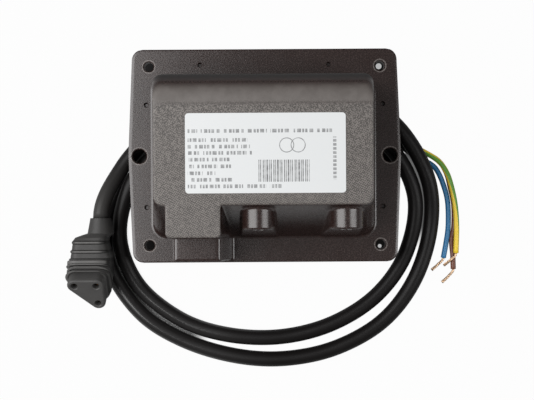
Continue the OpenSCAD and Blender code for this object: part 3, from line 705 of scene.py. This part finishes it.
def spaced(first, last, plain, zones):
    """Numbers from first to last whose step is plain, or a zone's own step inside a zone."""
    tick = 0.01
    fine = np.arange(first, last, tick)
    step = np.full(len(fine), plain)
    for a, b, size in zones:
        step[(fine >= a) & (fine <= b)] = size
    count = np.concatenate([[0], np.cumsum(tick / step)])
    total = int(np.ceil(count[-1]))
    return np.interp(np.linspace(0, count[-1], total + 1), count, np.append(fine, last))


# Where edges and fillets lie, the front's grid is finer: from, to and step.
FINE_X = (
    (-53.5, -45, 0.4), (-45, -38, 0.35), (-20.5, -13.5, 0.35), (-12.5, -8, 0.3), (-8, 2.6, 0.6),
    (2.6, 7.2, 0.3), (24.4, 28.9, 0.3), (28.9, 39.5, 0.6), (39.5, 44, 0.3), (44, 53, 0.4),
)  # fmt: skip
FINE_Y = (
    (-48.9, -45.5, 0.3), (-39, -32, 0.3), (-32, -21.5, 0.4), (19, 33, 0.7), (33, 39.5, 0.35),
    (43.5, 48.9, 0.4),
)  # fmt: skip
STRIP_X = 53.5
# Rings from the front's rim over the flange's edge to its back: inset and height.
RIM_INSET = 0.5
RIM_RINGS = ((0.15, -0.15), (0.0, -0.5), (0.0, 0.4 - FLANGE_T), (0.3, -FLANGE_T))


def flange_half(y, inset):
    """Half the flange's width at a height: it falls from the side holes to the corners, and
    ends in a quarter circle."""
    y = np.minimum(np.abs(y), FLANGE_TOP - inset)
    corner_y = FLANGE_TOP - CORNER_R
    past = np.maximum(y - corner_y, 0)
    straight = FLANGE_HALF - (FLANGE_HALF - CORNER_HALF) * np.minimum(y, corner_y) / corner_y
    r = CORNER_R - inset
    return straight - CORNER_R + np.sqrt(np.maximum(r * r - past**2, 0))


def flange_grid(inset):
    """The front's grid of places: its outer columns follow the flange's outline."""
    xs = spaced(-FLANGE_HALF, FLANGE_HALF, 1.3, FINE_X)
    ys = spaced(-FLANGE_TOP, FLANGE_TOP, 1.4, FINE_Y)
    y, x = np.meshgrid(ys, xs, indexing="ij")
    y = y * (FLANGE_TOP - inset) / FLANGE_TOP
    strip = np.clip((np.abs(x) - STRIP_X) / (FLANGE_HALF - STRIP_X), 0, 1)
    outer = np.sign(x) * (STRIP_X + strip * (flange_half(y, inset) - STRIP_X))
    return np.where(np.abs(x) > STRIP_X, outer, x), y


def rim_of(points):
    """The outer ring of a grid, in order, starting at its first corner."""
    return np.concatenate([points[0, :-1], points[:-1, -1], points[-1, :0:-1], points[:0:-1, 0]])


def case_shell(name):
    """The front as a height over the flange's plan, closed by rings down the flange's edge and a
    flat back."""
    x, y = flange_grid(RIM_INSET)
    front = np.stack([x, y, front_height(x, y)], -1)
    rows, cols = front.shape[:2]
    rings = [
        rim_of(np.stack([*flange_grid(inset), np.full(x.shape, height)], -1)) for inset, height in RIM_RINGS
    ]
    points = np.concatenate([front.reshape(-1, 3), *rings])
    number = np.arange(rows * cols).reshape(rows, cols)
    i, k = np.meshgrid(np.arange(rows - 1), np.arange(cols - 1), indexing="ij")
    quads = np.stack([number[i, k], number[i, k + 1], number[i + 1, k + 1], number[i + 1, k]], -1)
    faces = quads.reshape(-1, 4).tolist()
    count = len(rings[0])
    loops = [rim_of(number)] + [rows * cols + n * count + np.arange(count) for n in range(len(rings))]
    for near, far in zip(loops, loops[1:]):
        faces += np.stack([near, far, np.roll(far, -1), np.roll(near, -1)], -1).tolist()
    faces.append(loops[-1][::-1].tolist())
    mesh = bpy.data.meshes.new(name)
    mesh.from_pydata((points * MM).tolist(), [], faces)
    return add_object(name, mesh)


def turned(x, y, profile, sides=40):
    """A profile of radius and height turned about an upright axis."""
    turn = 2 * np.pi * np.arange(sides) / sides
    r, z = np.array(profile, float).T
    upright = np.repeat(z[:, None], sides, 1)
    return np.stack([x + r[:, None] * np.cos(turn), y + r[:, None] * np.sin(turn), upright], -1)


def lying(outline, first, last):
    """An outline in X and Z carried along Y."""
    outline = np.array(outline, float)
    y = np.repeat(np.array([[first], [last]], float), len(outline), 1)
    x, z = (np.repeat(outline[None, :, k], 2, 0) for k in range(2))
    return np.stack([x, y, z], -1)


def arc(x, z, r, first, last, count):
    """An arc of radius r about a middle, from the first to the last degree."""
    turn = np.radians(np.linspace(first, last, count))
    return np.stack([x + r * np.cos(turn), z + r * np.sin(turn)], -1)


def bar(x, z, r, first, last, sides=32):
    """A round bar along Y."""
    return lying(arc(x, z, r, 0, 360, sides + 1)[:-1], first, last)


def cut(piece, solids):
    """Takes solids out of a piece; those given as grids of points are closed first."""
    tools = [s if isinstance(s, bpy.types.Object) else grid_mesh("tool", s) for s in solids]
    for tool in tools:
        faces = bmesh.new()
        faces.from_mesh(tool.data)
        bmesh.ops.recalc_face_normals(faces, faces=faces.faces)
        faces.to_mesh(tool.data)
        faces.free()
    boolean = piece.modifiers.new("cut", "BOOLEAN")
    boolean.object = joined(tools)
    boolean.solver = "EXACT"
    bpy.context.view_layer.update()
    shape = bpy.data.meshes.new_from_object(piece.evaluated_get(bpy.context.evaluated_depsgraph_get()))
    piece.modifiers.clear()
    piece.data = shape
    bpy.data.objects.remove(tools[0])


# The socket and the bores are cut from ahead of the case down to their floors. Behind each
# floor stands a wall that the resin stops at.
SOCKET_Z = 35.0
SOCKET_R = 3.65
SOCKET_ARC_STEP = 11.25
SOCKET_FLOOR = -22.9
SOCKET_WALL_T = 3
SOCKET_WALL_LOW = 20.8
SOCKET_WALL_TOP = 47
BORE_R = 4.0
BORE_FLOOR = -23.8
BORE_WALL_T = 2
CUT_START = -42
WALL_START = -40
# Holes of the pins: radius, and where they start and end along Y.
MAINS_PIN_HOLE = (1.4, -23.5, -19)
HV_PIN_HOLE = (1.7, -24.6, -21.1)
FIXING_X, FIXING_Y, FIXING_R = 53, 41, 2.2
SIDE_FIXING_X, SIDE_FIXING_R = 57.5, 3.2
DIMPLES = [(sx * 54.2, sy * 23.5) for sx in (-1, 1) for sy in (-1, 1)] + [(-29.5, 41.7), (29.5, 41.7)]
DIMPLE_PROFILE = [(0.8, -1.6), (1.0, -1.3), (1.0, -0.2), (1.5, 0.4)]


def resin_space(name):
    """The space that the resin fills: the hull of the resin's own places, carried on through the
    back, without the walls behind the socket and the outlets."""
    spots = []
    for node in ("potting", "seal_resin"):
        place = np.zeros(len(nodes[node].data.vertices) * 3)
        nodes[node].data.vertices.foreach_get("co", place)
        spots.append(place.reshape(-1, 3))
    spots.append(spots[-1] - [0, 0, 2 * MM])
    mesh = bpy.data.meshes.new(name)
    mesh.from_pydata(np.concatenate(spots).tolist(), [], [])
    hull = bmesh.new()
    hull.from_mesh(mesh)
    made = bmesh.ops.convex_hull(hull, input=hull.verts)
    bmesh.ops.delete(hull, geom=list({*made["geom_interior"], *made["geom_unused"]}), context="VERTS")
    hull.to_mesh(mesh)
    hull.free()
    space = add_object(name, mesh)
    left, right = BLOCK_X - BLOCK_HALF, BLOCK_X + BLOCK_HALF
    low, high = SOCKET_WALL_LOW, SOCKET_WALL_TOP
    box = [(left, low), (right, low), (right, high), (left, high)]
    walls = [lying(box, WALL_START, SOCKET_FLOOR + SOCKET_WALL_T)]
    bore_wall = (BORE_R + BORE_WALL_T, WALL_START, BORE_FLOOR + BORE_WALL_T)
    walls += [bar(x, OUTLET_Z, *bore_wall) for x in OUTLETS]
    cut(space, walls)
    return space


def fixing(x, y, r):
    """A hole through the flange whose rim is rounded out."""
    return turned(x, y, [(r, -6), (r, -0.6), (r + 0.6, 0.05), (r + 1.2, 1.0)])


shell = case_shell("case_shell")
socket = np.concatenate([
    arc(BLOCK_X + x, SOCKET_Z + z, SOCKET_R, first, last, round((last - first) / SOCKET_ARC_STEP) + 1)
    for x, z, first, last in CORNERS
])  # fmt: skip
cut(
    shell,
    [resin_space("resin_space"), lying(socket, CUT_START, SOCKET_FLOOR)]
    + [bar(x, OUTLET_Z, BORE_R, CUT_START, BORE_FLOOR) for x in OUTLETS]
    + [fixing(sx * FIXING_X, sy * FIXING_Y, FIXING_R) for sx in (-1, 1) for sy in (-1, 1)]
    + [fixing(sx * SIDE_FIXING_X, 0, SIDE_FIXING_R) for sx in (-1, 1)]
    + [turned(x, y, DIMPLE_PROFILE) for x, y in DIMPLES],
)
mains_pin_holes = [bar(BLOCK_X + x, SOCKET_Z + z, *MAINS_PIN_HOLE) for x, z in CONTACTS]
hv_pin_holes = [bar(x, OUTLET_Z, *HV_PIN_HOLE) for x in OUTLETS]
cut(shell, mains_pin_holes + hv_pin_holes)
shell.data.shade_smooth()
shell.data.set_sharp_from_angle(angle=np.radians(36))
moulding = Finish("case_moulding", Specular_IOR_Level=0.8)
spot = moulding.place()
x, y, z = moulding.axes(spot)
cloud = moulding.noise(spot, 45.0, 5.0)
patches = moulding.noise(spot, 160.0, 5.0, 0.65)
fine = moulding.noise(spot, 1300.0, 3.0, 0.6)
wear = moulding.noise(spot, 1500.0, 3.0, 0.7).rise(0.4, 0.75)
# The front face is grained, and painted sheen makes it and the start of the round shoulder pale;
# the grain's light specks are painted glints, and the shoulder's sheen is patchy. The grain is a
# noise on the weave of two crossed waves, which show most near the terminals.
front = z.rise(0.0472, 0.0478) * (1 - y.rise(0.018, 0.0215))
painted_sheen_zone = front.most(y.rise(0.0185, 0.0205) * z.rise(0.0448, 0.0474))
weave = ((x * 3580 + y * 6720).sin() + (x * 6720 - y * 4780).sin()) * (y.rise(0.02, -0.02) * 0.07 + 0.02)
grain = weave + moulding.noise(spot, 2300.0, 2.0, 0.6)
# painted sheen and painted glints: the grained face is pale with light specks
grain_with_painted_sheen = moulding.mix((grain - 0.47) * 7 + 0.2, (0.045, 0.038, 0.034), (0.19, 0.17, 0.156))
# painted sheen: the start of the shoulder is pale and patchy
shoulder = moulding.mix(patches.rise(0.35, 0.65), (0.104, 0.09, 0.082), (0.132, 0.116, 0.107))
# The rest is dark and smooth. The rims of the fixings are pale, and painted shade darkens the wall
# from the shoulder down to the flange.
smooth_colour = moulding.mix(cloud * 0.3 + wear * 0.7, (0.011, 0.0052, 0.0044), (0.055, 0.031, 0.027))
corner = (x.abs() - FIXING_X * MM).hypot(y.abs() - FIXING_Y * MM)
side = (x.abs() - SIDE_FIXING_X * MM).hypot(y)
rim = (corner - (FIXING_R + 0.6) * MM).abs().least((side - (SIDE_FIXING_R + 0.6) * MM).abs())
rim = (1 - rim.rise(0.0002, 0.0004)) * (wear * 0.7 + 0.3) * (z < 0.001)
smooth_colour = moulding.mix(rim, smooth_colour, (0.3, 0.27, 0.255))
# painted shade on the wall from the shoulder down to the flange
painted_wall_shade = y.rise(0.0285, 0.0315) * z.rise(0.0, 0.0012) * (1 - painted_sheen_zone)
smooth_colour = moulding.mix(painted_wall_shade * 0.8, smooth_colour, (0.004, 0.003, 0.003))
moulding.set("Base Color", moulding.mix(painted_sheen_zone, smooth_colour, moulding.mix(front, shoulder, grain_with_painted_sheen)))
roughness = painted_sheen_zone * 0.3 + painted_wall_shade * 0.55 + moulding.noise(spot, 130.0, 4.0) * 0.08 + wear * 0.1 + 0.2
moulding.set("Roughness", roughness)
moulding.bump(front * grain * 0.00006 + (1 - front) * fine * 0.00004, 1.0, 0.5)
dress(shell, moulding)
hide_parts("housing")
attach(shell, "root")

# The label is white polyester film with a satin face, glued to the front face. It carries plain
# rows of dashes, a field of bars, a column of dashes and two rings, all a little worn.
ROW_LEFT = -31.5
ROW_H = 1.5
# Each row: its middle and its right end.
ROWS = (
    (8.0, 27.7), (4.3, -7.0), (1.6, -6.0), (-1.0, -5.2), (-3.7, -12.2), (-6.5, -13.2), (-9.3, -20.2),
    (-12.0, -13.4), (-14.7, 6.9),
)  # fmt: skip
# The field of bars and the column: left, right, middle and height.
BAR_FIELD = (-2.8, 18.4, -8.4, 9.0)
COLUMN = (28.1, 29.5, -3.4, 17.8)
RINGS = ((9.1, 2.1), (13.8, 2.1))
RING_R = 2.9
RING_HALF = 0.19

film = Finish("label_film", Roughness=0.42)
spot = film.place()
x, y = (axis * (1 / MM) for axis in film.axes(spot)[:2])


def patch(left, right, middle, height):
    """1 inside an upright rectangle of the label, in millimetres."""
    return (x > left) * (x < right) * ((y - middle).abs() < height / 2)


# The lengths of dashes and bars wander with a sine, and each row's number shifts its dashes.
line = y * 0.36 - 0.15
row = line - line.cycle()
strokes = (x * 0.6 + row * 0.43 + (x * 1.3 + row * 2).sin() * 0.22).cycle() < 0.66
groups = (x * 0.105 + row * 0.37).cycle() < 0.85
bars = (x * 1.15 + (x * 2.9).sin() * 0.16).cycle() < 0.52
ink = sum(patch(ROW_LEFT, end, middle, ROW_H) for middle, end in ROWS) * strokes * groups * 0.68
ink = ink.most(patch(*BAR_FIELD) * bars * 0.8)
ink = ink.most(patch(*COLUMN) * ((y * 0.6).cycle() < 0.66) * 0.62)
for ring_x, ring_y in RINGS:
    away = (x - ring_x).hypot(y - ring_y)
    ink = ink.most(((away - RING_R).abs() < RING_HALF) * 0.7)
wear = film.noise(spot, 500.0, 3.0).rise(0.35, 0.6) * 0.35 + 0.65
film.set("Base Color", film.mix(ink * wear, (0.75, 0.765, 0.77), (0.05, 0.05, 0.055)))
dress(nodes["label"], film)


# Inside the case lie the core of thin steel sheets and, on nylon bobbins, the windings of
# enamelled wire. Plated and brass pins lead out of it, and sleeved leads join them inside. All
# of it is potted in dark resin, poured in from the back.
def dress_nodes(finish, *names):
    for name in names:
        dress(nodes[name], finish)


steel = Finish("lamination_steel", Metallic=1.0, Roughness=0.45)
sheets = (steel.axes(steel.place())[2] * 2000).cycle()
steel.set("Base Color", steel.mix(sheets.rise(0.05, 0.2), (0.08, 0.08, 0.085), (0.38, 0.39, 0.41)))
dress_nodes(steel, "core_u", "core_i", "magnetic_shunt")

nylon = speckled("bobbin_nylon", 90.0, (0.62, 0.56, 0.42), (0.7, 0.65, 0.52), Roughness=0.5)
dress_nodes(nylon, "primary_bobbin", "secondary_bobbin_left", "secondary_bobbin_right")

enamel = Finish("enamelled_wire", Roughness=0.28)
turns = (enamel.axes(enamel.place())[0] * 2500).cycle()
# painted highlight along the middle of each turn, and painted shade between the turns
enamel.set("Base Color", enamel.mix((turns - 0.5).abs() * 2, (0.5, 0.19, 0.06), (0.2, 0.06, 0.02)))
dress_nodes(enamel, "primary_winding", "secondary_winding_left", "secondary_winding_right")

plated = speckled(
    "pin_plating", 300.0, (0.6, 0.61, 0.63), (0.78, 0.79, 0.8), Metallic=1.0, Roughness=0.25
)
dress_nodes(plated, "line_pin", "neutral_pin", "earth_pin")
dress_nodes(brass, "hv_pin_left", "hv_pin_right")

sleeve = speckled("inner_lead_sleeve", 200.0, (0.5, 0.48, 0.42), (0.6, 0.57, 0.5), Roughness=0.5)
dress_nodes(sleeve, "hv_lead_left", "hv_lead_right", "line_lead", "neutral_lead", "earth_lead")

resin = speckled(
    "potting_resin", 30.0, (0.025, 0.02, 0.018), (0.045, 0.038, 0.034), detail=4.0, Roughness=0.3
)
resin.bump(resin.noise(resin.place(), 60.0, 3.0), 0.0002, 0.4)
dress_nodes(resin, "potting", "seal_resin")

# The table is matt white paper that the lead lies on. It shows its own white, and painted shade
# darkens it under the case, where it is seen through the fixings, and between turns of the lead
# that nearly touch. From below it is clear.
TABLE_HALF = 2
TABLE_Z = (LEAD_END[2] - LEAD_D / 2) * MM
PAPER_WHITE = 0.975
MIRRORED_WHITE = 0.2
corners = [(x * TABLE_HALF, y * TABLE_HALF, TABLE_Z) for x, y in ((-1, -1), (1, -1), (1, 1), (-1, 1))]
table_mesh = bpy.data.meshes.new("table")
table_mesh.from_pydata(corners, [], [(0, 1, 2, 3)])
table = add_object("table", table_mesh)
paper = Finish("table_paper", Roughness=0.9)
x, y, _ = paper.axes(paper.place())
from_above = paper.axes(paper.node("ShaderNodeNewGeometry", output="Incoming"))[2] > 0.97
# painted shade on the paper under the case
under = (1 - x.abs().rise(0.042, 0.066)) * (1 - y.abs().rise(0.03, 0.052))
# The camera sees the table through the fixings a little farther out than they are; painted shade
# darkens the paper there, and a painted light spot lightens it in two of them.
# painted shade where the paper is seen through the fixings
below_hole = (x.abs() - 0.0553).hypot((y - 0.0009).abs() - 0.0428) < 0.0036
below_hole = below_hole.most((x.abs() - 0.06).hypot(y - 0.0009) < 0.0046)
under = under.most(below_hole * from_above)
# painted light: two lighter spots in the shade of the fixings
upper_light = (x - 0.0547).hypot(y - 0.0433) < 0.0014
lower_light = (x - 0.0547).hypot(y + 0.0427) < 0.0009
under = under * (1 - upper_light.most(lower_light) * 0.45)
paper.set("Base Color", paper.mix(under, (0.3, 0.3, 0.3), (0.006, 0.005, 0.005)))
# Painted shade between the turns: at the left it grows where the paper sees little sky, at the right it is
# placed.
open_sky = paper.node("ShaderNodeAmbientOcclusion", {"samples": 8}, {"Distance": 0.012}, "AO")
# painted shade on the paper between turns of the lead
slit = x.rise(-0.026, -0.036) * (1 - open_sky.rise(0.22, 0.42))
between = (x - y.rise(-0.012, -0.02) * 0.003).rise(0.0665, 0.0675)
between = between * (x + y.rise(-0.012, 0.0) * 0.005).rise(0.0775, 0.0765)
slit = slit.most(between * y.rise(-0.045, -0.033) * y.rise(0.006, 0.004) * 0.9)
dark = under.most(slit * from_above)
kinds = ("Camera", "Glossy", "Transmission")
direct, mirrored, through = (paper.node("ShaderNodeLightPath", output=f"Is {kind} Ray") for kind in kinds)
seen = direct.most(mirrored * MIRRORED_WHITE).most(through)
glow = paper.node("ShaderNodeEmission", None, {"Color": (1, 1, 1), "Strength": 1.0})
matt = Shade(paper, paper.shader.outputs[0])
shown = paper.node("ShaderNodeMixShader", None, (seen * PAPER_WHITE * (1 - dark), matt, glow))
below = paper.node("ShaderNodeNewGeometry", output="Backfacing")
clear = paper.node("ShaderNodeBsdfTransparent")
both = paper.node("ShaderNodeMixShader", None, (below, shown, clear))
paper.link(paper.tree.nodes["Material Output"].inputs["Surface"], both)
dress(table, paper)

# Two soft boxes light the table: a large one at the left and a weaker one at the right. The room
# adds an even light from all sides, and the camera sees it white.
ROOM_LIGHT = 0.14


def soft_box(name, place, width, height, power):
    """An area lamp at a place, turned to face the middle, with its size and power."""
    lamp = bpy.data.lights.new(name, "AREA")
    lamp.shape = "RECTANGLE"
    lamp.size = width
    lamp.size_y = height
    lamp.energy = power
    box = add_object(name, lamp)
    box.location = place
    box.rotation_euler = (-box.location).to_track_quat("-Z", "Y").to_euler()


soft_box("box_left", (-0.52, 0.02, 0.62), 0.68, 0.84, 7.6)
soft_box("box_right", (0.56, -0.1, 0.57), 0.25, 0.6, 2.0)
world = bpy.data.worlds.new("room")
bpy.context.scene.world = world
world.use_nodes = True
room = world.node_tree
background = room.nodes["Background"]
background.inputs["Color"].default_value = (1, 1, 1, 1)
rays = room.nodes.new("ShaderNodeLightPath")
strength = room.nodes.new("ShaderNodeMapRange")
strength.inputs["To Min"].default_value = ROOM_LIGHT
room.links.new(rays.outputs["Is Camera Ray"], strength.inputs["Value"])
room.links.new(strength.outputs[0], background.inputs["Strength"])
bpy.context.scene.view_settings.view_transform = "Standard"

bpy.context.view_layer.update()
